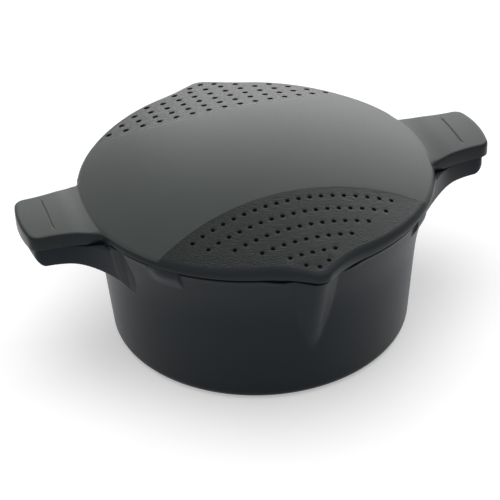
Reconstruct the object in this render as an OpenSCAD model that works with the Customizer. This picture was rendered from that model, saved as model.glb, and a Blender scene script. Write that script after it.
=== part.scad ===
// Plastic cooking pot with a lift-off strainer lid.
// The origin is the centre of the base, +Z is up, the handles point along X
// and the pouring spouts along Y. Lengths are in millimetres.

/* [Pot] */
// Outer radius of the base
base_r = 95; // [85:0.5:98]
// Outer radius that the straight wall would have at the height of the lid's seat
rim_r = 103; // [99:0.5:106]
// Height of the lid's seat above the base
pot_h = 98; // [85:0.5:120]
// Height of the pot's rim above that seat, inside the lid
lip_h = 1.6; // [1:0.1:2.5]
// Gap between that rim and the lid
lip_gap = 0.6; // [0.4:0.05:1]
// Thickness of the pot's wall
wall = 2.8; // [2:0.1:3.5]
// Thickness of the floor
floor_t = 3.2; // [2:0.1:5]
// Radius of the round edge under the pot
foot_round = 6; // [3.5:0.1:9]
// How far the flared top of the wall lies inside the lid's rim
flare_inset = 1.6; // [1:0.1:2.4]
// Height over which the wall flares out
flare_drop = 28; // [20:0.5:36]
// Angle from a handle to the far end of each lug under the lid's rim
lug_end_angle = 47.5; // [44:0.5:50]
// Angle that each lug covers
lug_angle = 10; // [6:0.5:12]
// Height of each lug's outer face
lug_h = 5; // [3:0.1:6]
// How far the lugs lie inside the lid's rim
lug_inset = 0.4; // [0.2:0.05:0.8]

/* [Spouts] */
// How far the lid's spout stands out past the lid's round rim
lid_spout_out = 10.5; // [8:0.1:15]
// Radius of the lid's spout tip
lid_spout_r = 13; // [10:0.1:15]
// Radius of the hollow curve from the spout into the round rim
lid_spout_blend = 30; // [25:0.5:40]
// How far the pot's spout stands out past its wall, at the rim
pot_spout_out = 14; // [12:0.1:14.4]
// Outer radius of the pot's spout ridge
pot_spout_r = 9; // [6:0.1:11]
// Half the angle between the flanks of the pot's spout
pot_spout_half_angle = 52; // [45:1:56]
// Height over which the pot's spout runs out into the wall
pot_spout_drop = 60; // [45:0.5:70]

/* [Lid] */
// How far the lid's rim stands out past the pot's rim
lid_overhang = 8.2; // [7.8:0.1:9]
// Thickness of the lid
lid_wall = 2.8; // [2:0.1:3.5]
// Height of the lid's edge
lid_edge_h = 4.7; // [4:0.1:6]
// Height of the lid's crown above its lower edge
lid_crown_h = 26.5; // [24:0.1:28]
// Gap under the lid where it rests on the pot
seat_gap = 0.4; // [0.3:0.05:0.8]

/* [Strainer] */
// Distance from the centre to the edge where the strainer slope starts
slope_start = 52.5; // [50:0.5:55]
// Angle of the strainer slope
slope_angle = 12.8; // [12:0.1:13.2]
// Radius of the slope's crown, across the lid
slope_crown_r = 329; // [315:1:345]
// Height of the step where the slope starts
slope_step = 0.25; // [0.2:0.05:0.6]
// Radius of the lid that the rows and pitches below are laid out for
pattern_r = 111.2; // [106:0.1:118]
// Distance from the centre to the first row of holes
rows_start = 59.8; // [58:0.1:61]
// Distance between the rows of holes
rows_step = 10.6; // [10:0.05:10.8]
// Radius of the curve that the slope's edge and the rows follow
row_curve_r = 200; // [180:1:230]
// Distance from the last full row to the pair of holes at the tip
pair_step = 8.4; // [8:0.1:9]
// Distance from that pair to the last hole
last_step = 3.4; // [3:0.1:4]
// Diameter of the fine holes
fine_d = 2.5; // [1.5:0.1:3.5]
// Distance between fine holes
fine_pitch = 6.9; // [6:0.05:7.2]
// Half the distance between the pair of fine holes at the tip
fine_pair = 6.9; // [5.5:0.1:8]
// Diameter of the coarse holes
coarse_d = 3.7; // [2.5:0.1:4]
// Distance between coarse holes
coarse_pitch = 10.6; // [9:0.05:10.7]
// Half the distance between the pair of coarse holes at the tip
coarse_pair = 8.5; // [7.5:0.1:9]

/* [Handles] */
// Length of the lid's handle past the lid's rim
handle_l = 39.8; // [30:0.1:50]
// Half the width of the lid's handle near its end
handle_half = 23.5; // [20:0.1:27]
// Radius of the lid handle's corners
handle_corner = 10; // [7:0.1:13]
// Radius of the curve from the lid's handle into the lid
handle_flare = 96; // [85:1:120]
// Thickness of the lid's handle
handle_t = 6; // [4:0.1:6.5]
// Depth of the skirt that the lid's handle lowers around the pot's handle
skirt_h = 3.4; // [2:0.1:5]
// Thickness of that skirt
skirt_wall = 2.5; // [2:0.1:3]
// Gap between that skirt and the pot
skirt_gap = 0.6; // [0.4:0.05:1]
// Radius of the curve from the pot's handle into the wall
web_flare = 68; // [65:1:75]
// Thickness of the pot handle's webs
web_t = 3; // [2:0.1:4]
// Thickness of the pot handle's top
grip_t = 3.5; // [2.5:0.1:5]
// How far the pot's handles and lugs lie below the lid's seat
grip_drop = 0.5; // [0.3:0.1:1]
// Depth of the pot's handle at its end
grip_h = 17.2; // [12:0.1:20]
// Radius of the sweep from the web down into the wall
web_sweep = 40; // [39:0.5:42]
// Distance from the pot's rim to where that sweep starts
web_sweep_x = 23; // [21:0.5:26]
// Width of the bevel at the lower end of the pot's handle
end_bevel_w = 5; // [3:0.1:6]
// Height of that bevel
end_bevel_h = 8; // [5:0.1:10]
// Distance from the end of the lid's handle to the line across it
mark_inset = 18.5; // [14:0.1:22]
// Length of that line
mark_l = 32; // [20:0.5:36]
// Width of that line
mark_w = 1; // [0.6:0.1:1.5]
// Depth of that line
mark_depth = 0.5; // [0.3:0.05:1]

/* [Hidden] */
$fn = 128;

// Counts of holes in each row, from the centre towards the spout
fine_counts = [19, 17, 13, 9, 5];
coarse_counts = [15, 13, 11, 9, 5];
// Height above the lid's lower edge at which the holes start
holes_low = 2;
// Share of the spout's length by which its ridge goes on inside the wall
ridge_past = 0.2;
// Distance from the pot's rim inwards to where the handles' plans start
handle_root_in = 27;
// Share of a round's radius at which the straight faces beside it meet it
round_share = 0.99;
// Share of the skirt's gap that the pot's handle keeps where it is cut back for the skirt
cut_back_share = 0.6;
// Amount by which cutting shapes pass the faces that they open
cut = 1;

// Outer radius of the pot's wall at a height
function wall_r(z) = base_r + (rim_r - base_r) * z / pot_h;
lid_r = rim_r + lid_overhang;
rim_z = pot_h + lip_h;
seat_z = pot_h + seat_gap;
crown_z = seat_z + lid_crown_h;
dome_drop = lid_crown_h - lid_edge_h;
dome_r = (lid_r * lid_r + dome_drop * dome_drop) / (2 * dome_drop);
dome_z = crown_z - dome_r;
slope_z = dome_z + sqrt(dome_r * dome_r - slope_start * slope_start) + slope_step;
lid_tip = lid_r + lid_spout_out;
pot_tip = rim_r + pot_spout_out;
spout_tilt = atan((pot_tip - wall_r(pot_h - pot_spout_drop)) / pot_spout_drop);
spout_run = pot_spout_drop / cos(spout_tilt);
pattern_spread = lid_r / pattern_r;
flare_r = lid_r - flare_inset;
flare_z = pot_h - flare_drop;
lip_r = lid_r - lid_wall - lip_gap;
lug_r = lid_r - lug_inset;
handle_end = lid_r + handle_l;
handle_neck = handle_end - handle_corner;
handle_top = seat_z + handle_t;
skirt_z = seat_z - skirt_h;
pot_handle_inset = skirt_wall + skirt_gap;
grip_top = pot_h - grip_drop;
grip_bottom = pot_h - grip_h;
handle_root = rim_r - handle_root_in;
reach = handle_end + lid_tip;

// Round plan with a rounded tip on +Y and on -Y, drawn in by an inset
module spouted_plan(inset) {
    round_r = lid_r - inset;
    tip_r = lid_spout_r - inset;
    blend_r = lid_spout_blend + inset;
    tip_y = lid_tip - lid_spout_r;
    a = round_r + blend_r;
    b = tip_r + blend_r;
    blend_y = (a * a - b * b + tip_y * tip_y) / (2 * tip_y);
    blend_x = sqrt(a * a - blend_y * blend_y);
    circle(round_r);
    for (side = [0, 1]) mirror([0, side]) {
        translate([0, tip_y]) circle(tip_r);
        difference() {
            polygon([[0, 0], [blend_x, blend_y], [0, tip_y], [-blend_x, blend_y]]);
            for (x = [-blend_x, blend_x]) translate([x, blend_y]) circle(blend_r);
        }
    }
}

// Plan of a handle on +X, drawn in by an inset, with its sides flared
module handle_plan(inset, flare_r) {
    half = handle_half - inset;
    corner = handle_corner - inset;
    difference() {
        union() {
            translate([handle_root, -rim_r / 2]) square([handle_neck - handle_root, rim_r]);
            translate([handle_neck, corner - half]) square([corner, 2 * (half - corner)]);
            for (y = [corner - half, half - corner]) translate([handle_neck, y]) circle(corner);
        }
        for (y = [-1, 1]) translate([handle_neck, y * (half + flare_r)]) circle(flare_r);
    }
}

// Both copies of what is drawn on +X
module each_handle() {
    for (side = [0, 1]) mirror([side, 0, 0]) children();
}

// Both copies of what is drawn on +Y
module each_spout() {
    for (side = [0, 1]) mirror([0, side, 0]) children();
}

// Section of the pot's spout: a V with a rounded tip at the top, drawn in by an inset
module spout_section(inset) {
    r = pot_spout_r - inset;
    normal = [cos(pot_spout_half_angle), sin(pot_spout_half_angle)];
    along = rim_r / 2 * [sin(pot_spout_half_angle), -cos(pot_spout_half_angle)];
    touch = round_share * r * normal;
    back = touch + along;
    translate([0, -pot_spout_r]) {
        circle(r);
        polygon([touch, back, [-back[0], back[1]], [-touch[0], touch[1]]]);
    }
}

// The V drawn along the slanting ridge, kept to one side of the pot
module spout_form(inset, top) {
    intersection() {
        translate([0, pot_tip, pot_h]) rotate([-spout_tilt, 0, 0])
            translate([0, 0, -(1 + ridge_past) * spout_run])
                linear_extrude(2 * spout_run) spout_section(inset);
        translate([-rim_r / 2, rim_r / 2, 0]) cube([rim_r, rim_r, top]);
    }
}

// Outer form of the round pot
module pot_outside() {
    slope = (rim_r - base_r) / pot_h;
    lean = sqrt(1 + slope * slope);
    foot_x = wall_r(foot_round) - round_share * foot_round * lean;
    touch_z = foot_round * (1 - slope / lean);
    rotate_extrude() difference() {
        polygon([
            [0, 0],
            [base_r, 0],
            [wall_r(flare_z), flare_z],
            [flare_r, pot_h],
            [lip_r, pot_h],
            [lip_r, rim_z],
            [0, rim_z]
        ]);
        difference() {
            translate([foot_x, -cut]) square([2 * foot_round, touch_z + cut]);
            translate([foot_x, foot_round]) circle(foot_round);
        }
    }
}

// Space inside the pot, open at the top
module pot_inside() {
    inner_round = foot_round - wall;
    inner_r = wall_r(floor_t) - wall;
    top_r = lip_r - wall;
    rotate_extrude() {
        polygon([
            [0, floor_t],
            [inner_r - inner_round, floor_t],
            [wall_r(floor_t + inner_round) - wall, floor_t + inner_round],
            [wall_r(flare_z) - wall, flare_z],
            [top_r, pot_h],
            [top_r, rim_z + cut],
            [0, rim_z + cut]
        ]);
    }
    each_spout() spout_form(wall, rim_z + cut);
}

// Lug under the lid's rim, between the handle on +X and the spout on +Y
module lug() {
    top = pot_h - grip_drop;
    inner = flare_r - 2 * wall;
    rotate([0, 0, lug_end_angle - lug_angle]) rotate_extrude(angle = lug_angle)
        polygon([[inner, top - 2 * lug_h], [lug_r, top - lug_h], [lug_r, top], [inner, top]]);
}

// Handle of the pot on +X: a hollow grip, open below, with webs that sweep into the wall
module pot_handle() {
    low = pot_h / 2;
    end = handle_end - pot_handle_inset;
    sweep_x = rim_r + web_sweep_x;
    difference() {
        translate([0, 0, low]) linear_extrude(grip_top - low)
            handle_plan(pot_handle_inset, web_flare);
        translate([0, 0, low - cut]) linear_extrude(grip_top - grip_t - low + cut)
            handle_plan(pot_handle_inset + web_t, web_flare + web_t);
        translate([sweep_x, 0, grip_bottom - web_sweep]) rotate([90, 0, 0])
            cylinder(h = 3 * rim_r, r = web_sweep, center = true);
        translate([sweep_x, -rim_r, low - cut])
            cube([rim_r, 2 * rim_r, grip_bottom - low + cut]);
        translate([end, 0, grip_bottom]) rotate([90, 0, 0])
            linear_extrude(3 * rim_r, center = true)
                polygon([[-end_bevel_w, 0], [0, end_bevel_h], [cut, end_bevel_h], [cut, -cut],
                    [-end_bevel_w, -cut]]);
        for (y = [-1, 1])
            translate([handle_neck, y * (handle_half + handle_flare), skirt_z - skirt_gap])
                cylinder(h = skirt_h + skirt_gap, r = handle_flare + skirt_wall + cut_back_share * skirt_gap);
    }
}

module cooking_pot() {
    color("dimgray") difference() {
        union() {
            pot_outside();
            each_spout() spout_form(0, rim_z);
            each_handle() {
                pot_handle();
                each_spout() lug();
            }
        }
        pot_inside();
    }
}

// Solid under the lid's crown and its two strainer slopes, drawn in by an inset
module crown(inset) {
    translate([0, 0, dome_z]) sphere(dome_r - inset, $fn = 360);
    each_spout() intersection() {
        translate([0, slope_start, slope_z]) rotate([-slope_angle, 0, 0])
            translate([0, 0, -slope_crown_r]) rotate([90, 0, 0])
                cylinder(h = 4 * reach, r = slope_crown_r - inset, center = true, $fn = 360);
        translate([0, slope_start + row_curve_r, seat_z - 2 * cut])
            cylinder(h = lid_crown_h, r = row_curve_r - inset, $fn = 360);
    }
}

// Handle of the lid on +X, with the skirt that goes around the pot's handle
module lid_handle() {
    difference() {
        translate([0, 0, seat_z]) linear_extrude(handle_t) handle_plan(0, handle_flare);
        translate([handle_end - mark_inset - mark_w / 2, -mark_l / 2, handle_top - mark_depth])
            cube([mark_w, mark_l, mark_depth + cut]);
    }
    translate([0, 0, skirt_z]) linear_extrude(skirt_h) difference() {
        handle_plan(0, handle_flare);
        handle_plan(skirt_wall, handle_flare + skirt_wall);
        circle(lug_r + skirt_gap);
    }
}

// How far a row of holes has curved outwards at a distance from its middle
function row_curve(x) = row_curve_r - sqrt(row_curve_r * row_curve_r - x * x);

// Places of the holes on +Y, each across and along the lid
function hole_places(counts, pitch, pair_x) = let (
    pair_y = rows_start + rows_step * (len(counts) - 1) + pair_step
) concat(
    [for (row = [0 : len(counts) - 1]) for (i = [0 : counts[row] - 1])
        let (x = (i - (counts[row] - 1) / 2) * pitch)
        [x, rows_start + row * rows_step + row_curve(x)]],
    [[-pair_x, pair_y], [pair_x, pair_y], [0, pair_y + last_step]]
);

module holes(places, d) {
    for (place = pattern_spread * places) translate([place[0], place[1], seat_z + holes_low])
        cylinder(h = lid_crown_h, d = d, $fn = 24);
}

module strainer_lid() {
    color("gray") difference() {
        union() {
            intersection() {
                translate([0, 0, seat_z]) linear_extrude(lid_crown_h + cut) spouted_plan(0);
                crown(0);
            }
            each_handle() lid_handle();
        }
        intersection() {
            translate([0, 0, seat_z - cut]) linear_extrude(lid_crown_h + cut)
                spouted_plan(lid_wall);
            crown(lid_wall);
        }
        mirror([0, 1, 0]) holes(hole_places(fine_counts, fine_pitch, fine_pair), fine_d);
        holes(hole_places(coarse_counts, coarse_pitch, coarse_pair), coarse_d);
    }
}

cooking_pot();
strainer_lid();
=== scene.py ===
import math

import bmesh
import bpy
import numpy as np
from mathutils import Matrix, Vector, geometry


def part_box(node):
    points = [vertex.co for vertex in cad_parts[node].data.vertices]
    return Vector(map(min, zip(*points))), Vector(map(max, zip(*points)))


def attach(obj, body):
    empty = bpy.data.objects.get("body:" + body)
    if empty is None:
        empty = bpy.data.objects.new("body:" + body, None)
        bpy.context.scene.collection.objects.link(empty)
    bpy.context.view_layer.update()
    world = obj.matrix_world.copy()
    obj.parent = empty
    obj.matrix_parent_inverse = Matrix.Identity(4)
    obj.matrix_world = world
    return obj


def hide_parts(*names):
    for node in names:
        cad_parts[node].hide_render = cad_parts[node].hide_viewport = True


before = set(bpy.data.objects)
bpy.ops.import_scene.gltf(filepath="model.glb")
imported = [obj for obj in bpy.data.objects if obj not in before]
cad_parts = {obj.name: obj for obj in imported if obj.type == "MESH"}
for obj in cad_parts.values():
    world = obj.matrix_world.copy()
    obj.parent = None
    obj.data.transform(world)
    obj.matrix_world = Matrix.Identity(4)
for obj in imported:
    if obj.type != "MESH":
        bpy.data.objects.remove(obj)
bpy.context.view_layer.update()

# Sizes are in millimetres, and the outer ones come from the frame
MM = 0.001
lid_low, lid_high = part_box("strainer_lid")
RIM_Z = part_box("cooking_pot")[1].z / MM
HANDLE_END = lid_high.x / MM
LID_TIP = lid_high.y / MM
CROWN_Z = lid_high.z / MM
SKIRT_Z = lid_low.z / MM

# Lid
LID_R = 111.2
LID_WALL = 2.8
LID_SEAT_Z = 98.4
LID_EDGE_H = 4.7
LID_EDGE_ROUND = 2.8
LID_LIP_Z = LID_SEAT_Z + 1.2
LID_LIP_ROUND = 0.4
LID_INSIDE_SOFTNESS = 0.3
LID_TIP_R = 9.0
LID_TIP_BLEND = 90.0
DOME_DROP = CROWN_Z - LID_SEAT_Z - LID_EDGE_H
DOME_R = (LID_R ** 2 + DOME_DROP ** 2) / (2 * DOME_DROP)

# Strainer zones: slopes with a curved upper edge, and rows of holes that end in a pair and a last hole
SLOPE_START = 52.5
SLOPE_ANGLE = math.radians(12.8)
SLOPE_CROWN_R = 300.0
SLOPE_BLEND = 1.6
ROW_CURVE_R = 200.0
ROWS_START = 59.8
ROWS_STEP = 10.6
PAIR_STEP = 8.4
LAST_STEP = 3.4
HOLE_ROUND = 0.35
FINE_ROWS = (19, 17, 13, 9, 5)
FINE_PITCH = 6.9
FINE_PAIR_X = 6.9
FINE_HOLE_R = 1.25
FINE_HOLE_SIDES = 16
COARSE_ROWS = (15, 13, 11, 9, 5)
COARSE_PITCH = 10.6
COARSE_PAIR_X = 8.5
COARSE_HOLE_R = 1.85
COARSE_HOLE_SIDES = 20

# Finishes of the lid: the smooth edge has a darker colour, painted shade that stands for the dark
# reflections along the rim and the shade in the holes; it is wider along the sanded zones, and it takes in
# the steep faces, the hole walls among them
SATIN, SAND, SHADED_EDGE = range(3)
LID_SHADED_EDGE_BAND = 1.0
SAND_SHADED_EDGE_BAND = 3.6
STEEP = 0.1

# Pot
BASE_R = 95.0
TOP_R = 103.0
POT_SEAT_Z = 98.0
WALL_SLOPE = (TOP_R - BASE_R) / POT_SEAT_Z
WALL = 2.8
FLOOR = 3.2
FOOT_ROUND = 6.0
FLARE_Z = 70.0
FLARE_R = LID_R - 1.6
FLARE_SOFTNESS = 1.6
LIP_R = LID_R - LID_WALL - 0.6
POT_EDGE_Z = POT_SEAT_Z - 0.2
EDGE_ROUND = 0.8
LEDGE_RISE = 0.05

# Lugs of the collar beside the handles: their ends in degrees from the handle
LUG_R = LID_R - 0.9
LUG_START = 37.5
LUG_START_BLEND = 3.0
LUG_END = 47.5
LUG_END_BLEND = (-0.6, 0.2)
LUG_LOW_Z = POT_SEAT_Z - 14.0
LUG_FULL_Z = POT_SEAT_Z - 1.0
LUG_TOP_Z = LID_LIP_Z - 0.3

# Spouts of the pot: a V within a span on each side, over a ledge given in degrees from the handle
SPOUT_TIP = 117.0
SPOUT_R = 9.0
SPOUT_HALF_ANGLE = math.radians(52.0)
SPOUT_TILT = math.radians(17.5)
SPOUT_SPAN = math.radians(34.0)
SPOUT_SOFTNESS = 0.3
SPOUT_LEDGE = 1.8
SPOUT_LEDGE_DROP = 2.2
SPOUT_LEDGE_ANGLES = (72.0, 80.0)

# Handles of the lid
HANDLE_HALF = 23.5
HANDLE_CORNER = 7.0
HANDLE_END_R = 80.0
HANDLE_NECK_X = HANDLE_END - HANDLE_END_R + math.sqrt(
    (HANDLE_END_R - HANDLE_CORNER) ** 2 - (HANDLE_HALF - HANDLE_CORNER) ** 2)
HANDLE_FLARE = 96.0
HANDLE_FILLET = 1.5
HANDLE_EDGE_ROUND = 1.8
HANDLE_EDGE_CHANGE = 4.0
HANDLE_TOP_Z = 104.67
HANDLE_CROWN = 0.9
HANDLE_DIP = 0.8
HANDLE_DIP_LENGTH = 12.0
HANDLE_ROOT_SOFTNESS = 0.2
HANDLE_ZONE_X = (90.0, 95.0)
HANDLE_ZONE_Y = (31.0, 36.0)
SHOULDER_R = LID_R - 1.0
SHOULDER_ROUND = 2.0
SKIRT_WALL = 2.5
SKIRT_RIM_WALL = 1.2
SKIRT_WALL_CHANGE = 1.5
SKIRT_INSIDE = (-0.2, 0.3)
SKIRT_END_X = 104.9
SKIRT_END_SOFTNESS = 0.7
MARK_X = 132.5
MARK_HALF = 16.0
MARK_DEPTH = 0.5
MARK_FLANK = (0.24, 0.78)
MARK_END_SOFTNESS = 0.5

# Handles of the pot: a grip inside the lid's skirt, and webs under it that sweep into the wall
GRIP_INSET = 3.1
GRIP_TOP_Z = 97.5
GRIP_TOP_ROUND = 1.0
GRIP_T = 3.5
GRIP_LOW_Z = 80.8
GRIP_ROOT_R = 107.6
GRIP_LEAN_LENGTH = 16.0
GRIP_END_X = HANDLE_END - GRIP_INSET
GRIP_END_BEVEL_H = 8.0
GRIP_END_BEVEL = (GRIP_END_X - 8.0, GRIP_END_X + 2.0)
WEB = 3.0
WEB_INSIDE = (WEB - 0.5, WEB + 0.3)
WEB_FLARE = 53.0
WEB_FAN = 0.25
WEB_FAN_Z = (22.5, 97.0)
WEB_TOP_Z = SKIRT_Z - 0.7
WEB_TOP_ROUND = 1.2
WEB_LOW_ROUND = 1.4
WEB_LOW_STEP = 1.2
WEB_LOW_STEP_GAP = (1.6, 2.7)
WEB_ROOT_X = SKIRT_END_X - 0.9
WEB_ROOT_Z = LID_LIP_Z - 0.6
WEB_ROOT_SOFTNESS = 0.6
WEB_SHOULDER = 0.45
WEB_SHOULDER_GAP = (0.4, 1.4)
WEB_SHOULDER_X = (WEB_ROOT_X + 2.0, WEB_ROOT_X + 16.0)
WEB_SWEEP = 40.0
WEB_SWEEP_X = 127.3
WEB_SWEEP_LIMIT = 0.98 * WEB_SWEEP
PLATE_LOW_Z = WEB_TOP_Z - 1.5

# Points of the shells: gaps from an outline, offsets from the lines they follow, and turns in radians
OUTLINE_STEP = 1.4
LID_LOOPS = (0.12, 0.45, 1.0, 1.7, 2.3, 2.8, 3.6, 4.8)
LID_GRID = 3.0
LID_GRID_GAP = 6.2
ZONE_TURNS = np.arange(-0.45, 0.45, 0.006)
ZONE_OFFSETS = (0.15, 0.8, 1.6)
ZONE_GRID_GAP = 2.2
ZONE_EDGE_GAP = 5.4
MARK_PLACES = np.arange(-MARK_HALF - 1.0, MARK_HALF + 1.1, 1.0)
MARK_OFFSETS = (0.15, 0.45, 0.8, 1.5)
CREASE_TURNS = np.radians(np.arange(-14.0, 14.1, 0.7))
CREASE_OFFSETS = (-3.8, -2.8, -2.2, -1.8, -1.4, -0.9, 0.0, 1.4)
CREASE_MIDDLE = LID_R - 1.2
CREASE_GRID_GAP = 3.6
HOLE_RINGS = (0.15, 0.45)
HOLE_GAP = 0.75
HOLE_INSIDE = 0.97
GRIP_LOOPS = (0.12, 0.45, 1.0, 1.6, 2.2, 2.7, 3.2, 4.4)
GRIP_GRID = 2.5
GRIP_GRID_GAP = 5.6
GRIP_GRID_LOW = (GRIP_ROOT_R - 20.0, -60.0)
GRIP_GRID_HIGH = (HANDLE_END, 60.0)
GRIP_ROOT_GAP = 0.2
GRIP_POINT_GAP = 0.15

# Points of the pot: directions in degrees from the handle, shares of a radius or a turn, counts and heights
WALL_TURNS = np.arange(0.0, 70.0, 1.5)
SPOUT_TURNS = np.arange(70.0, 90.01, 0.5)
LUG_TURNS = np.arange(-1.0, 1.01, 0.2)
BASE_SHARES = (0.03, 0.25, 0.5, 0.75, 0.92, 0.98)
FLOOR_SHARES = (0.97, 0.75, 0.5, 0.25, 0.03)
EDGE_SHARES = (0.0, 0.35, 0.7, 1.0)
LEDGE_SHARES = (0.5, 1.0)
FOOT_ROWS = 9
RIM_ROWS = 3
CORNER_ROWS = 6
WALL_LOW_Z = 8.0
WALL_CLOSE_Z = 66.0
WALL_STEP = 2.0
WALL_CLOSE_STEP = 1.0
INSIDE_TOP_Z = 96.5
INSIDE_STEP = 2.5

# Meshes and materials
SHARP_ANGLE = math.radians(35.0)
MOTTLE_SCALE = 14.0
MOTTLE_DETAIL = 4.0
MOTTLE = 0.12
GRAIN_DETAIL = 3.0
GRAIN_ROUGHNESS = 0.6
SHEEN = 0.05
NOISE_RANGE = (0.3, 0.7)

# Stage and light, in metres and watts
FLOOR_HALF = 6.0
FLOOR_Z = -0.2 * MM
FLOOR_COLOUR = (0.82, 0.82, 0.82, 1)
FLOOR_ROUGHNESS = 0.9
FLOOR_LIFT = 0.36
WORLD_LIGHT = 0.45
WORLD_SEEN = 1.0
OVERHEAD_PLACE = (0.0, 0.1, 1.6)
OVERHEAD_TARGET = (0.0, 0.0, 0.0)
OVERHEAD_SIZE = (1.5, 1.5)
OVERHEAD_POWER = 16.0
PANEL_PLACE = (0.7, 1.2, 0.62)
PANEL_TARGET = (0.0, 0.0, 0.06)
PANEL_SIZE = (1.5, 1.3)
PANEL_POWER = 12.0

# Camera: its place in millimetres and its turns about X, Y and Z in degrees
CAMERA_PLACE = (-292.3, -916.5, 703.2)
CAMERA_TURNS = (55.609, 1.935, -18.693)
CAMERA_LENS = 131.46
CAMERA_SENSOR = 36.0
CAMERA_NEAR = 0.05


def smooth(value, low, high):
    """0 below low and 1 above high, with a soft change between them."""
    t = np.clip((np.asarray(value, float) - low) / (high - low), 0.0, 1.0)
    return t * t * (3.0 - 2.0 * t)


def soft_max(a, b, softness):
    """The larger of two values, with a hollow fillet where they meet."""
    return np.maximum(a, b) + softness * np.log1p(np.exp(-np.abs(a - b) / softness))


def rounded_drop(distance, radius):
    """How far a rounded edge has dropped at a distance from the outline."""
    t = np.clip(radius - distance, 0.0, radius)
    return radius - np.sqrt(radius * radius - t * t)


def both_ways(offsets):
    """Offsets on both sides of a line, in order across it."""
    return [-offset for offset in reversed(offsets)] + list(offsets)


# Outlines made of arcs that touch


def touch_point(first, second):
    """Point where two touching circles, each (x, y, radius), meet."""
    large, small = (first, second) if first[2] >= second[2] else (second, first)
    way = np.array(small[:2]) - np.array(large[:2])
    return np.array(large[:2]) + large[2] * way / np.linalg.norm(way)


def circle_meeting(first, first_gap, second, second_gap):
    """Centre at the given distances from two circles' centres, on the side with more x."""
    a, b = np.array(first[:2]), np.array(second[:2])
    span = np.linalg.norm(b - a)
    along = (first_gap ** 2 - second_gap ** 2 + span ** 2) / (2 * span)
    across = math.sqrt(first_gap ** 2 - along ** 2)
    unit = (b - a) / span
    normal = np.array((-unit[1], unit[0]))
    return max((a + along * unit + side * across * normal for side in (-1, 1)), key=lambda p: p[0])


def arc_points(circle, start, end, step):
    """Points along a circle from start to end, the short way round."""
    centre = np.array(circle[:2])
    first, last = (math.atan2(*(p - centre)[::-1]) for p in (start, end))
    turn = (last - first + math.pi) % (2 * math.pi) - math.pi
    count = max(2, int(abs(turn) * circle[2] / step) + 1)
    angles = first + turn * np.arange(count) / count
    return centre + circle[2] * np.stack([np.cos(angles), np.sin(angles)], 1)


def arc_chain(start, circles, end, step):
    """Smooth line from start to end along circles that touch one after another."""
    stops = [np.array(start)]
    stops += [touch_point(a, b) for a, b in zip(circles, circles[1:])]
    stops.append(np.array(end))
    runs = [arc_points(c, a, b, step) for c, a, b in zip(circles, stops, stops[1:])]
    return np.vstack(runs + [stops[-1][None]])


def mirrored(half):
    """Closed loop from a half that starts and ends on the axis y = 0."""
    return np.vstack([half, half[-2:0:-1] * (1, -1)])


def inset_loop(loop, distance):
    """Loop moved inwards by a distance."""
    way = np.roll(loop, -1, 0) - np.roll(loop, 1, 0)
    way /= np.linalg.norm(way, axis=1)[:, None]
    return loop + distance * np.stack([-way[:, 1], way[:, 0]], 1)


def lid_outline():
    """Outline of the lid with its handles and spout tips."""
    end = (HANDLE_END - HANDLE_END_R, 0.0, HANDLE_END_R)
    corner = (HANDLE_NECK_X, HANDLE_HALF - HANDLE_CORNER, HANDLE_CORNER)
    flare = (HANDLE_NECK_X, HANDLE_HALF + HANDLE_FLARE, HANDLE_FLARE)
    rim = (0.0, 0.0, LID_R)
    tip = (0.0, LID_TIP - LID_TIP_R, LID_TIP_R)
    fillet_at = circle_meeting(rim, LID_R + HANDLE_FILLET, flare, HANDLE_FLARE - HANDLE_FILLET)
    blend_at = circle_meeting(rim, LID_R + LID_TIP_BLEND, tip, LID_TIP_R + LID_TIP_BLEND)
    fillet = (*fillet_at, HANDLE_FILLET)
    blend = (*blend_at, LID_TIP_BLEND)
    circles = [end, corner, flare, fillet, rim, blend, tip]
    quarter = arc_chain((HANDLE_END, 0.0), circles, (0.0, LID_TIP), OUTLINE_STEP)
    return mirrored(np.vstack([quarter, quarter[-2::-1] * (-1, 1)]))


def grip_outline(flare_r):
    """Outline of the pot's handle on +X, closed inside the pot's wall."""
    end_r = HANDLE_END_R - GRIP_INSET
    end = (GRIP_END_X - end_r, 0.0, end_r)
    corner = (HANDLE_NECK_X, HANDLE_HALF - HANDLE_CORNER, HANDLE_CORNER - GRIP_INSET)
    flare = (HANDLE_NECK_X, HANDLE_HALF - GRIP_INSET + flare_r, flare_r)
    root_circle = (0.0, 0.0, GRIP_ROOT_R)
    root = circle_meeting(root_circle, GRIP_ROOT_R, flare, flare_r)
    chain = arc_chain((GRIP_END_X, 0.0), [end, corner, flare], root, OUTLINE_STEP)
    middle = np.array((GRIP_ROOT_R, 0.0))
    back = arc_points(root_circle, root, middle, OUTLINE_STEP)
    return mirrored(np.vstack([chain[:-1], back, middle]))


# Shells between a top and a bottom surface over one plan


def distance_to(points, loop):
    """Distance from each point to the nearest point of a loop."""
    found = np.full(len(points), np.inf)
    for part in np.array_split(loop, 8):
        gap = np.linalg.norm(points[:, None] - part[None], axis=2).min(1)
        found = np.minimum(found, gap)
    return found


def inside(points, loop):
    """Whether each point lies inside a closed loop."""
    x, y = points[:, 0][:, None], points[:, 1][:, None]
    a, b = loop, np.roll(loop, -1, 0)
    crosses = (a[:, 1] > y) != (b[:, 1] > y)
    rise = np.where(b[:, 1] == a[:, 1], 1e-9, b[:, 1] - a[:, 1])
    hits = x < (b[:, 0] - a[:, 0]) * (y - a[:, 1]) / rise + a[:, 0]
    return (crosses & hits).sum(1) % 2 == 1


def hex_grid(low, high, step):
    """Points of an even triangular grid over a rectangle."""
    columns = np.arange(low[0], high[0], step)
    rows = np.arange(low[1], high[1], step * math.sqrt(0.75))
    x, y = np.meshgrid(columns, rows)
    x[1::2] += step / 2
    return np.stack([x.ravel(), y.ravel()], 1)


def ring(centre, radius, count):
    angles = 2 * math.pi * np.arange(count) / count
    return np.array(centre) + radius * np.stack([np.cos(angles), np.sin(angles)], 1)


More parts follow.
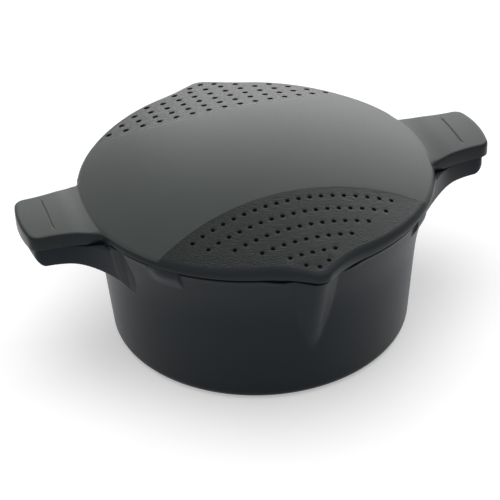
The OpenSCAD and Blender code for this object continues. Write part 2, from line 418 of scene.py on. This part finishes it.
def plan_mesh(loop, loose_points, holes):
    """Triangles over a plan, open at its holes: (points, triangles, rings of the holes' point numbers)."""
    points = [loop]
    edges = [np.stack([np.arange(len(loop)), np.roll(np.arange(len(loop)), -1)], 1)]
    rings = []
    start = len(loop)
    for centre, radius, count in holes:
        points.append(ring(centre, radius, count))
        numbers = start + np.arange(count)
        rings.append(numbers)
        edges.append(np.stack([numbers, np.roll(numbers, -1)], 1))
        start += count
    points.append(loose_points)
    made = geometry.delaunay_2d_cdt(
        [Vector(p) for p in np.vstack(points)],
        [tuple(map(int, e)) for e in np.vstack(edges)], [], 0, 1e-7)
    flat = np.array([tuple(p) for p in made[0]])
    triangles = np.array(made[2])
    middle = flat[triangles].mean(1)
    keep = inside(middle, loop)
    for centre, radius, _ in holes:
        keep &= np.linalg.norm(middle - np.array(centre), axis=1) > radius * HOLE_INSIDE
    triangles = triangles[keep]
    a, b, c = (flat[triangles[:, i]] for i in range(3))
    turn = (b - a)[:, 0] * (c - a)[:, 1] - (b - a)[:, 1] * (c - a)[:, 0]
    triangles[turn < 0] = triangles[turn < 0][:, ::-1]
    return flat, triangles, rings


def shell_mesh(loop, loose_points, holes, top_z, bottom_z):
    """(vertices, faces) of a closed shell over a plan, between two heights."""
    flat, triangles, rings = plan_mesh(loop, loose_points, holes)
    count = len(flat)
    vertices = np.vstack([
        np.column_stack([flat, top_z(flat)]),
        np.column_stack([flat, bottom_z(flat)])])
    faces = [tuple(t) for t in triangles]
    faces += [tuple(t[::-1] + count) for t in triangles]
    borders = [np.arange(len(loop))] + [r[::-1] for r in rings]
    for border in borders:
        for a, b in zip(border, np.roll(border, -1)):
            faces.append((b, a, a + count, b + count))
    return vertices, faces


def new_object(name, vertices, faces, materials):
    """Smoothly shaded object from vertices in millimetres, without the points that no face uses."""
    mesh = bpy.data.meshes.new(name)
    mesh.from_pydata([tuple(v) for v in np.asarray(vertices) * MM], [], [tuple(map(int, f)) for f in faces])
    work = bmesh.new()
    work.from_mesh(mesh)
    loose = [v for v in work.verts if not v.link_faces]
    bmesh.ops.delete(work, geom=loose, context="VERTS")
    work.to_mesh(mesh)
    work.free()
    mesh.validate()
    mesh.shade_smooth()
    mesh.set_sharp_from_angle(angle=SHARP_ANGLE)
    for material in materials:
        mesh.materials.append(material)
    made = bpy.data.objects.new(name, mesh)
    bpy.context.scene.collection.objects.link(made)
    return made


# Lid


def row_curve(x):
    return ROW_CURVE_R - np.sqrt(ROW_CURVE_R ** 2 - np.square(x))


def hole_places(counts, pitch, pair_x, side):
    """Centres of the strainer holes towards one spout."""
    places = []
    for row, count in enumerate(counts):
        for x in (np.arange(count) - (count - 1) / 2) * pitch:
            places.append((x, ROWS_START + row * ROWS_STEP + row_curve(x)))
    pair_y = ROWS_START + ROWS_STEP * (len(counts) - 1) + PAIR_STEP
    places += [(-pair_x, pair_y), (pair_x, pair_y), (0.0, pair_y + LAST_STEP)]
    return [(x, side * y) for x, y in places]


def lid_holes():
    """Holes as (centre, radius, sides): fine ones at the front and coarse ones at the back."""
    fine = hole_places(FINE_ROWS, FINE_PITCH, FINE_PAIR_X, -1)
    coarse = hole_places(COARSE_ROWS, COARSE_PITCH, COARSE_PAIR_X, 1)
    holes = [(place, FINE_HOLE_R, FINE_HOLE_SIDES) for place in fine]
    return holes + [(place, COARSE_HOLE_R, COARSE_HOLE_SIDES) for place in coarse]


def gap_to_holes(flat, holes):
    """Distance from each point to the nearest hole's edge."""
    found = np.full(len(flat), np.inf)
    for centre, radius, _ in holes:
        gap = np.linalg.norm(flat - np.array(centre), axis=1) - radius
        found = np.minimum(found, np.maximum(gap, 0.0))
    return found


def zone_depth(flat):
    """How far a point lies inside a strainer zone's curved edge; negative outside."""
    return ROW_CURVE_R - np.hypot(flat[:, 0], np.abs(flat[:, 1]) - SLOPE_START - ROW_CURVE_R)


def lid_surface(flat):
    """Height of the lid's top before its edges are rounded."""
    x, y = flat[:, 0], np.abs(flat[:, 1])
    dome_z = CROWN_Z - DOME_R
    dome = dome_z + np.sqrt(DOME_R ** 2 - np.square(x) - np.square(y))
    start_z = dome_z + math.sqrt(DOME_R ** 2 - SLOPE_START ** 2)
    crown = SLOPE_CROWN_R - np.sqrt(SLOPE_CROWN_R ** 2 - np.square(x))
    slope = start_z - (y - SLOPE_START) * math.tan(SLOPE_ANGLE) - crown / math.cos(SLOPE_ANGLE)
    zone = smooth(zone_depth(flat), -SLOPE_BLEND, SLOPE_BLEND)
    return dome + zone * (slope - dome)


def lid_top(flat, edge_gap, hole_gap):
    """Height of the lid's top with its handles, their marks and all rounded edges."""
    x, y = np.abs(flat[:, 0]), np.abs(flat[:, 1])
    reach = np.hypot(x, y)
    surface = lid_surface(flat)
    plate = HANDLE_TOP_Z - HANDLE_CROWN * np.square(y / HANDLE_HALF)
    plate -= HANDLE_DIP * (1 - smooth(x, LID_R, LID_R + HANDLE_DIP_LENGTH))
    shoulder = surface - rounded_drop(np.maximum(SHOULDER_R - reach, 0.0), SHOULDER_ROUND)
    joined = soft_max(shoulder, plate, HANDLE_ROOT_SOFTNESS)
    at_handle = (1 - smooth(y, *HANDLE_ZONE_Y)) * smooth(x, *HANDLE_ZONE_X)
    height = surface + at_handle * (joined - surface)
    across = smooth(np.abs(x - MARK_X), *MARK_FLANK)
    along = smooth(y, MARK_HALF - MARK_END_SOFTNESS, MARK_HALF + MARK_END_SOFTNESS)
    height -= MARK_DEPTH * (1 - across) * (1 - along)
    past_rim = smooth(reach, LID_R, LID_R + HANDLE_EDGE_CHANGE)
    edge_round = LID_EDGE_ROUND + past_rim * (HANDLE_EDGE_ROUND - LID_EDGE_ROUND)
    return height - rounded_drop(edge_gap, edge_round) - rounded_drop(hole_gap, HOLE_ROUND)


def lid_bottom(flat, edge_gap):
    """Height of the lid's underside: a lip round the rim, skirts under the handles, and the inside."""
    x = np.abs(flat[:, 0])
    reach = np.hypot(x, flat[:, 1])
    on_handle = smooth(x, SKIRT_END_X - SKIRT_END_SOFTNESS, SKIRT_END_X + SKIRT_END_SOFTNESS)
    low = LID_LIP_Z + on_handle * (SKIRT_Z - LID_LIP_Z)
    inside_r = LID_R - LID_WALL
    under_handle = smooth(reach, inside_r - LID_INSIDE_SOFTNESS, inside_r + LID_INSIDE_SOFTNESS)
    under_handle = under_handle * (x > HANDLE_ZONE_X[0])
    inner = lid_surface(flat) - LID_WALL
    inner = inner + under_handle * (LID_SEAT_Z - inner)
    past_rim = smooth(reach, LID_R, LID_R + SKIRT_WALL_CHANGE)
    thickness = SKIRT_RIM_WALL + past_rim * (SKIRT_WALL - SKIRT_RIM_WALL)
    within = smooth(edge_gap, thickness + SKIRT_INSIDE[0], thickness + SKIRT_INSIDE[1])
    return low + within * (inner - low) + rounded_drop(edge_gap, LID_LIP_ROUND)


def lid_grid(loop):
    """Even points over the lid, clear of its outline, of the creases and of the zones' edges."""
    grid = hex_grid((-HANDLE_END, -LID_TIP), (HANDLE_END, LID_TIP), LID_GRID)
    grid = grid[inside(grid, loop)]
    grid = grid[distance_to(grid, loop) > LID_GRID_GAP]
    grid = grid[np.abs(np.hypot(grid[:, 0], grid[:, 1]) - CREASE_MIDDLE) >= CREASE_GRID_GAP]
    return grid[np.abs(zone_depth(grid)) > ZONE_GRID_GAP]


def zone_lines(loop):
    """Lines of points along the curved edges of both strainer zones."""
    lines = []
    for depth in both_ways(ZONE_OFFSETS):
        radius = ROW_CURVE_R - depth
        y = SLOPE_START + ROW_CURVE_R - radius * np.cos(ZONE_TURNS)
        line = np.stack([radius * np.sin(ZONE_TURNS), y], 1)
        line = line[inside(line, loop)]
        line = line[distance_to(line, loop) > ZONE_EDGE_GAP]
        lines += [line, line * (1, -1)]
    return lines


def mark_lines():
    """Lines of points along the mark across each handle, a little longer than the mark."""
    lines = []
    for offset in both_ways(MARK_OFFSETS):
        line = np.stack([np.full(len(MARK_PLACES), MARK_X + offset), MARK_PLACES], 1)
        lines += [line, line * (-1, 1)]
    return lines


def crease_lines():
    """Lines of points along the rim where each handle leaves it."""
    lines = []
    for offset in CREASE_OFFSETS:
        line = (LID_R + offset) * np.stack([np.cos(CREASE_TURNS), np.sin(CREASE_TURNS)], 1)
        lines += [line, line * (-1, 1)]
    return lines


def lid_points(loop, holes):
    """All points inside the lid's outline, with rings of points round each hole."""
    points = [inset_loop(loop, gap) for gap in LID_LOOPS]
    points.append(lid_grid(loop))
    points = np.vstack(points + zone_lines(loop) + mark_lines() + crease_lines())
    for centre, radius, _ in holes:
        points = points[np.linalg.norm(points - np.array(centre), axis=1) > radius + HOLE_GAP]
    rings = [ring(centre, radius + gap, count) for centre, radius, count in holes for gap in HOLE_RINGS]
    return np.vstack([points] + rings)


def set_lid_finish_and_shade(lid, loop):
    """Gives each face of the lid its material: satin, sand or smooth edge, the edge with a darker colour
    that paints in the dark rim reflections and the shade on steep faces and in the holes.
    """
    places = np.array([p.center[:2] for p in lid.data.polygons]) / MM
    facing = np.array([p.normal.z for p in lid.data.polygons])
    sanded = (zone_depth(places) > 0) & (facing > 0)
    band = np.where(sanded, SAND_SHADED_EDGE_BAND, LID_SHADED_EDGE_BAND)
    at_shaded_edge = (distance_to(places, loop) < band) | (np.abs(facing) < STEEP)
    finish = np.where(at_shaded_edge, SHADED_EDGE, np.where(sanded, SAND, SATIN))
    lid.data.polygons.foreach_set("material_index", finish.astype(np.int32))


def build_lid(materials):
    loop = lid_outline()
    holes = lid_holes()

    def top_z(flat):
        return lid_top(flat, distance_to(flat, loop), gap_to_holes(flat, holes))

    def bottom_z(flat):
        return lid_bottom(flat, distance_to(flat, loop))

    vertices, faces = shell_mesh(loop, lid_points(loop, holes), holes, top_z, bottom_z)
    made = new_object("lid_moulding", vertices, faces, materials)
    set_lid_finish_and_shade(made, loop)
    return made


# Pot


def wall_r(z):
    return BASE_R + WALL_SLOPE * z


def flared_r(z, inset, top_r):
    """Radius of the pot's wall, with its flared top, drawn in by an inset."""
    low = wall_r(FLARE_Z) - inset
    flare = low + (top_r - low) * (z - FLARE_Z) / (POT_SEAT_Z - FLARE_Z)
    return soft_max(wall_r(z) - inset, flare, FLARE_SOFTNESS)


def spout_reach(turn, z, inset):
    """Distance from the axis to the spout's V, at a turn from its tip and a height."""
    radius = SPOUT_R - inset
    tip_y = SPOUT_TIP - SPOUT_R - (POT_SEAT_Z - z) * math.tan(SPOUT_TILT)
    flank = (tip_y * math.sin(SPOUT_HALF_ANGLE) + radius) / np.sin(SPOUT_HALF_ANGLE + turn)
    side = np.maximum(radius ** 2 - np.square(tip_y * np.sin(turn)), 0.0)
    nose = tip_y * np.cos(turn) + np.sqrt(side)
    touch = math.atan2(radius * math.cos(SPOUT_HALF_ANGLE), tip_y + radius * math.sin(SPOUT_HALF_ANGLE))
    return np.where(turn < touch, nose, flank)


def pot_radius(angles, z, round_r, inset):
    """Distance from the axis to the pot's wall and spouts, all round, at a height."""
    turn = np.arctan2(np.abs(np.cos(angles)), np.abs(np.sin(angles)))
    spout = np.where(turn < SPOUT_SPAN, spout_reach(np.minimum(turn, SPOUT_SPAN), z, inset), 0.0)
    return soft_max(np.full(len(angles), round_r), spout, SPOUT_SOFTNESS)


def outside_r(angles, lug, z):
    """Distance from the axis to the pot's outside, with the lugs that grow out under the lid."""
    bare = pot_radius(angles, z, flared_r(z, 0.0, FLARE_R), 0.0)
    grown = smooth(z, LUG_LOW_Z, LUG_FULL_Z) * lug
    return bare + grown * np.maximum(LUG_R - bare, 0.0)


def pot_angles():
    """Directions round the pot, closer together at the spouts and at the lugs' ends."""
    quarter = np.concatenate([WALL_TURNS, SPOUT_TURNS, LUG_START + LUG_TURNS, LUG_END + LUG_TURNS])
    quarter = np.unique(np.round(quarter, 3))
    half = np.concatenate([quarter, 180.0 - quarter[-2::-1]])
    return np.radians(np.concatenate([half, 360.0 - half[-2:0:-1]]))


def foot_rows():
    """Flat base from its middle outwards, then the rounded foot."""
    flat_r = wall_r(FOOT_ROUND) - FOOT_ROUND
    rows = [(flat_r * share, 0.0) for share in BASE_SHARES]
    for turn in np.linspace(0.0, math.pi / 2, FOOT_ROWS):
        rows.append((flat_r + FOOT_ROUND * math.sin(turn), FOOT_ROUND * (1 - math.cos(turn))))
    return rows


def wall_rows(angles, lug):
    """Outside of the wall, up to its rounded edge."""
    below_edge = POT_EDGE_Z - SPOUT_LEDGE_DROP - EDGE_ROUND
    far_apart = np.arange(WALL_LOW_Z, WALL_CLOSE_Z, WALL_STEP)
    close = np.arange(WALL_CLOSE_Z, below_edge, WALL_CLOSE_STEP)
    return [(outside_r(angles, lug, z), z) for z in np.concatenate([far_apart, close])]


def rounding(turn):
    """How far the pot's rounded edges are drawn in and dropped, at a turn from their side to their top."""
    return EDGE_ROUND * (1 - math.cos(turn)), EDGE_ROUND * (1 - math.sin(turn))


def edge_rows(angles, lug, near_spout):
    """Rounded edge under the lid's lip, and the ledge inside it."""
    edge_z = POT_EDGE_Z + lug * (LUG_TOP_Z - POT_EDGE_Z) - near_spout * SPOUT_LEDGE_DROP
    top = outside_r(angles, lug, POT_EDGE_Z)
    lip = pot_radius(angles, POT_SEAT_Z, LIP_R, SPOUT_LEDGE)
    ledge = np.clip((top - lip) / EDGE_ROUND, 0.0, 1.0)
    rows = []
    for share in EDGE_SHARES:
        drawn_in, drop = rounding(share * math.pi / 2)
        rows.append((top - drawn_in * ledge, edge_z - drop))
    for share in LEDGE_SHARES:
        rows.append((lip + (top - EDGE_ROUND * ledge - lip) * (1 - share), edge_z + LEDGE_RISE * share))
    return rows


def rim_rows(angles):
    """Rounded rim inside the lid, from its outside to its inside."""
    rim_out = pot_radius(angles, RIM_Z, LIP_R, SPOUT_LEDGE)
    rim_in = pot_radius(angles, RIM_Z, LIP_R - WALL, SPOUT_LEDGE + WALL)
    rows = []
    for turn in np.linspace(0.0, math.pi / 2, RIM_ROWS):
        drawn_in, drop = rounding(turn)
        rows.append((rim_out - drawn_in, RIM_Z - drop))
    for turn in np.linspace(math.pi / 2, 0.0, RIM_ROWS):
        drawn_in, drop = rounding(turn)
        rows.append((rim_in + drawn_in, RIM_Z - drop))
    return rows


def inside_rows(angles):
    """Inside of the wall downwards, the hollow corner, and the floor to its middle."""
    corner = FOOT_ROUND - WALL
    corner_z = FLOOR + corner
    floor_r = wall_r(corner_z) - WALL - corner
    rows = []
    for z in np.arange(INSIDE_TOP_Z, corner_z, -INSIDE_STEP):
        rows.append((pot_radius(angles, z, flared_r(z, WALL, LIP_R - WALL), WALL), z))
    for turn in np.linspace(0.0, math.pi / 2, CORNER_ROWS):
        rows.append((floor_r + corner * math.cos(turn), FLOOR + corner * (1 - math.sin(turn))))
    return rows + [(floor_r * share, FLOOR) for share in FLOOR_SHARES]


def lofted(angles, rows):
    """(vertices, faces) of a form through (radius, height) rows, closed on the axis at both ends."""
    count = len(angles)
    loops = []
    for radius, z in rows:
        height = np.broadcast_to(z, angles.shape)
        loops.append(np.stack([radius * np.cos(angles), radius * np.sin(angles), height], 1))
    first_middle, last_middle = len(rows) * count, len(rows) * count + 1
    vertices = np.vstack(loops + [[(0.0, 0.0, rows[0][1]), (0.0, 0.0, rows[-1][1])]])
    pairs = [(i, (i + 1) % count) for i in range(count)]
    last = (len(rows) - 1) * count
    faces = []
    for start in range(0, last, count):
        above = start + count
        faces += [(start + i, start + j, above + j, above + i) for i, j in pairs]
    for i, j in pairs:
        faces.append((first_middle, j, i))
        faces.append((last_middle, last + i, last + j))
    return vertices, faces


def build_pot(material):
    angles = pot_angles()
    from_handle = np.degrees(np.arctan2(np.abs(np.sin(angles)), np.abs(np.cos(angles))))
    lug = 1.0 - smooth(from_handle, LUG_END + LUG_END_BLEND[0], LUG_END + LUG_END_BLEND[1])
    lug = lug * smooth(from_handle, LUG_START - LUG_START_BLEND, LUG_START + LUG_START_BLEND)
    near_spout = smooth(from_handle, *SPOUT_LEDGE_ANGLES)
    rows = foot_rows() + wall_rows(angles, lug) + edge_rows(angles, lug, near_spout)
    rows += rim_rows(angles) + inside_rows(angles)
    vertices, faces = lofted(angles, rows)
    return new_object("pot_moulding", vertices, faces, [material])


# Handles of the pot


def lean_to_wall(points, fan):
    """Moves a handle's root with the wall, which draws in downwards, and fans it out at the top."""
    z = points[:, 2]
    reach = np.hypot(points[:, 0], points[:, 1])
    near = 1 - smooth(reach, GRIP_ROOT_R + GRIP_ROOT_GAP, GRIP_ROOT_R + GRIP_LEAN_LENGTH)
    reach = reach + near * (flared_r(z, 0.0, FLARE_R) - flared_r(GRIP_TOP_Z, 0.0, FLARE_R))
    height = np.clip((z - WEB_FAN_Z[0]) / (WEB_FAN_Z[1] - WEB_FAN_Z[0]), 0.0, 1.0)
    turn = np.arctan2(points[:, 1], points[:, 0]) * (1 + fan * near * height)
    return np.column_stack([reach * np.cos(turn), reach * np.sin(turn), z])


def web_low_z(flat):
    """Height of a web's lower edge: level under the grip, then a sweep down to the wall."""
    low = np.full(len(flat), GRIP_LOW_Z)
    for _ in range(3):
        leaning = lean_to_wall(np.column_stack([flat, low]), WEB_FAN)
        back = np.clip(WEB_SWEEP_X - leaning[:, 0], 0.0, WEB_SWEEP_LIMIT)
        low = GRIP_LOW_Z - WEB_SWEEP + np.sqrt(WEB_SWEEP ** 2 - np.square(back))
    return low + GRIP_END_BEVEL_H * smooth(flat[:, 0], *GRIP_END_BEVEL)


def web_bottom_z(flat, gap):
    """Height of the webs' underside, hollow between them up to the grip."""
    low = web_low_z(flat) + rounded_drop(gap, WEB_LOW_ROUND) + WEB_LOW_STEP * smooth(gap, *WEB_LOW_STEP_GAP)
    return low + smooth(gap, *WEB_INSIDE) * (GRIP_TOP_Z - GRIP_T - low)


def plate_bottom_z(flat, gap):
    """Level underside of the grip's plate, inside the webs' shell."""
    return np.full(len(flat), PLATE_LOW_Z)


def grip_points(loop):
    """All points inside a pot handle's outline, clear of its root."""
    grid = hex_grid(GRIP_GRID_LOW, GRIP_GRID_HIGH, GRIP_GRID)
    grid = grid[inside(grid, loop)]
    grid = grid[distance_to(grid, loop) > GRIP_GRID_GAP]
    points = np.vstack([inset_loop(loop, gap) for gap in GRIP_LOOPS] + [grid])
    points = points[np.hypot(points[:, 0], points[:, 1]) > GRIP_ROOT_R + GRIP_POINT_GAP]
    return points[inside(points, loop)]


def grip_shell(flare_r, fan, top, root_top, top_round, bottom_z):
    """Shell of the pot's handle on +X, level on top and higher past the end of the lid's skirt."""
    loop = grip_outline(flare_r)
    outer = loop[np.hypot(loop[:, 0], loop[:, 1]) > GRIP_ROOT_R + GRIP_ROOT_GAP]

    def top_z(flat):
        leaning = lean_to_wall(np.column_stack([flat, np.full(len(flat), top)]), fan)
        x, y = leaning[:, 0], np.abs(leaning[:, 1])
        past_skirt = 1 - smooth(x, WEB_ROOT_X - WEB_ROOT_SOFTNESS, WEB_ROOT_X + WEB_ROOT_SOFTNESS)
        past_neck = np.maximum(HANDLE_NECK_X - x, 0.0)
        skirt_y = HANDLE_HALF + HANDLE_FLARE - np.sqrt(HANDLE_FLARE ** 2 - np.square(past_neck))
        beside = smooth(y - skirt_y, *WEB_SHOULDER_GAP) * (1 - smooth(x, *WEB_SHOULDER_X))
        rise = np.maximum(past_skirt, WEB_SHOULDER * beside) * (root_top - top)
        return top + rise - rounded_drop(distance_to(flat, outer), top_round)

    def low_z(flat):
        return bottom_z(flat, distance_to(flat, outer))

    vertices, faces = shell_mesh(loop, grip_points(loop), [], top_z, low_z)
    return lean_to_wall(vertices, fan), faces


def build_grip(name, side, material):
    """Handle of the pot: the webs' shell with the grip's plate on it, on the side +1 or -1 of X."""
    webs, web_faces = grip_shell(WEB_FLARE, WEB_FAN, WEB_TOP_Z, WEB_ROOT_Z, WEB_TOP_ROUND, web_bottom_z)
    plate, plate_faces = grip_shell(
        HANDLE_FLARE + GRIP_INSET, 0.0, GRIP_TOP_Z, GRIP_TOP_Z, GRIP_TOP_ROUND, plate_bottom_z)
    vertices = np.vstack([webs, plate]) * (side, side, 1)
    faces = web_faces + [tuple(np.array(f) + len(webs)) for f in plate_faces]
    return new_object(name, vertices, faces, [material])


# Materials


def plastic(name, colour, specular, roughness, grain_size, grain_depth, grain_strength):
    """Charcoal plastic with a moulded grain, in millimetres, faint mottling and uneven sheen."""
    material = bpy.data.materials.new(name)
    material.use_nodes = True
    nodes, links = material.node_tree.nodes, material.node_tree.links
    shader = nodes["Principled BSDF"]
    shader.inputs["Specular IOR Level"].default_value = specular
    place = nodes.new("ShaderNodeTexCoord")
    broad = nodes.new("ShaderNodeTexNoise")
    broad.inputs["Scale"].default_value = MOTTLE_SCALE
    broad.inputs["Detail"].default_value = MOTTLE_DETAIL
    links.new(place.outputs["Object"], broad.inputs["Vector"])
    tint = nodes.new("ShaderNodeValToRGB")
    for element, position, level in zip(tint.color_ramp.elements, NOISE_RANGE, (1 - MOTTLE, 1 + MOTTLE)):
        element.position = position
        element.color = (*[c * level for c in colour], 1)
    links.new(broad.outputs["Fac"], tint.inputs["Fac"])
    links.new(tint.outputs["Color"], shader.inputs["Base Color"])
    grain = nodes.new("ShaderNodeTexNoise")
    grain.inputs["Scale"].default_value = 1.0 / (grain_size * MM)
    grain.inputs["Detail"].default_value = GRAIN_DETAIL
    grain.inputs["Roughness"].default_value = GRAIN_ROUGHNESS
    links.new(place.outputs["Object"], grain.inputs["Vector"])
    sheen = nodes.new("ShaderNodeMapRange")
    sheen.inputs["From Min"].default_value, sheen.inputs["From Max"].default_value = NOISE_RANGE
    sheen.inputs["To Min"].default_value = roughness - SHEEN
    sheen.inputs["To Max"].default_value = roughness + SHEEN
    links.new(grain.outputs["Fac"], sheen.inputs["Value"])
    links.new(sheen.outputs["Result"], shader.inputs["Roughness"])
    bump = nodes.new("ShaderNodeBump")
    bump.inputs["Strength"].default_value = grain_strength
    bump.inputs["Distance"].default_value = grain_depth * MM
    links.new(grain.outputs["Fac"], bump.inputs["Height"])
    links.new(bump.outputs["Normal"], shader.inputs["Normal"])
    return material


# Stage, light and camera


def seen_ray(nodes, links):
    """Socket that is 1 for what is seen straight, in a reflection or through glass, and 0 for light."""
    path = nodes.new("ShaderNodeLightPath")
    total = path.outputs["Is Camera Ray"]
    for kind in ("Is Glossy Ray", "Is Transmission Ray"):
        either = nodes.new("ShaderNodeMath")
        either.operation = "MAXIMUM"
        links.new(total, either.inputs[0])
        links.new(path.outputs[kind], either.inputs[1])
        total = either.outputs["Value"]
    return total


def build_stage():
    """Pale floor, a little lighter where it is seen than where it lights the object."""
    mesh = bpy.data.meshes.new("floor")
    corners = [(x * FLOOR_HALF, y * FLOOR_HALF, FLOOR_Z) for x, y in ((-1, -1), (1, -1), (1, 1), (-1, 1))]
    mesh.from_pydata(corners, [], [(0, 1, 2, 3)])
    floor = bpy.data.objects.new("floor", mesh)
    bpy.context.scene.collection.objects.link(floor)
    material = bpy.data.materials.new("pale_floor")
    material.use_nodes = True
    nodes, links = material.node_tree.nodes, material.node_tree.links
    shader = nodes["Principled BSDF"]
    shader.inputs["Base Color"].default_value = FLOOR_COLOUR
    shader.inputs["Roughness"].default_value = FLOOR_ROUGHNESS
    shader.inputs["Emission Color"].default_value = (1, 1, 1, 1)
    lift = nodes.new("ShaderNodeMath")
    lift.operation = "MULTIPLY"
    lift.inputs[1].default_value = FLOOR_LIFT
    links.new(seen_ray(nodes, links), lift.inputs[0])
    links.new(lift.outputs["Value"], shader.inputs["Emission Strength"])
    mesh.materials.append(material)


def area_light(name, place, target, size, power):
    data = bpy.data.lights.new(name, "AREA")
    data.shape = "RECTANGLE"
    data.size, data.size_y = size
    data.energy = power
    made = bpy.data.objects.new(name, data)
    made.location = place
    made.rotation_euler = (Vector(target) - Vector(place)).to_track_quat("-Z", "Y").to_euler()
    bpy.context.scene.collection.objects.link(made)
    return made


def build_light():
    """White world that lights less than it shows, a lamp above, and a panel seen in reflections."""
    world = bpy.data.worlds.new("studio")
    bpy.context.scene.world = world
    world.use_nodes = True
    nodes, links = world.node_tree.nodes, world.node_tree.links
    shown = nodes["Background"]
    shown.inputs["Color"].default_value = (1, 1, 1, 1)
    level = nodes.new("ShaderNodeMapRange")
    level.inputs["To Min"].default_value = WORLD_LIGHT
    level.inputs["To Max"].default_value = WORLD_SEEN
    links.new(seen_ray(nodes, links), level.inputs["Value"])
    links.new(level.outputs["Result"], shown.inputs["Strength"])
    overhead = area_light("overhead", OVERHEAD_PLACE, OVERHEAD_TARGET, OVERHEAD_SIZE, OVERHEAD_POWER)
    overhead.visible_glossy = False
    panel = area_light("back_panel", PANEL_PLACE, PANEL_TARGET, PANEL_SIZE, PANEL_POWER)
    panel.visible_diffuse = False


def build_camera():
    """Camera at the photograph's viewing angle, for a square frame."""
    data = bpy.data.cameras.new("camera")
    data.sensor_width = CAMERA_SENSOR
    data.lens = CAMERA_LENS
    data.clip_start = CAMERA_NEAR
    camera = bpy.data.objects.new("camera", data)
    camera.location = Vector(CAMERA_PLACE) * MM
    camera.rotation_euler = [math.radians(turn) for turn in CAMERA_TURNS]
    bpy.context.scene.collection.objects.link(camera)
    bpy.context.scene.camera = camera


build_camera()
build_stage()
build_light()
bpy.context.scene.view_settings.view_transform = "Standard"

# The pot is the lid's plastic made darker and bluer: painted shade for its walls and handles
pot_plastic = plastic(
    "pot_plastic", colour=(0.012, 0.016, 0.0205), specular=0.12, roughness=0.36,
    grain_size=0.7, grain_depth=0.08, grain_strength=0.35)
lid_plastic = plastic(
    "lid_satin", colour=(0.02, 0.026, 0.0238), specular=0.38, roughness=0.46,
    grain_size=0.6, grain_depth=0.06, grain_strength=0.3)
sand_plastic = plastic(
    "lid_sand", colour=(0.009, 0.012, 0.0115), specular=0.17, roughness=0.21,
    grain_size=1.0, grain_depth=0.45, grain_strength=1.0)
# The edge's darker colour is painted shade: dark reflections on the rim, and shade on the steep sides and
# in the holes
shaded_edge_plastic = plastic(
    "lid_edge_painted_shade", colour=(0.011, 0.0145, 0.0165), specular=0.15, roughness=0.32,
    grain_size=0.6, grain_depth=0.06, grain_strength=0.3)

lid = build_lid([lid_plastic, sand_plastic, shaded_edge_plastic])
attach(lid, "lid")
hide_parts("strainer_lid")

pot = build_pot(pot_plastic)
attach(pot, "pot")
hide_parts("cooking_pot")
for grip_name, grip_side in (("pot_grip_right", 1), ("pot_grip_left", -1)):
    grip = build_grip(grip_name, grip_side, pot_plastic)
    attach(grip, "pot")
    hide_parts("cooking_pot")
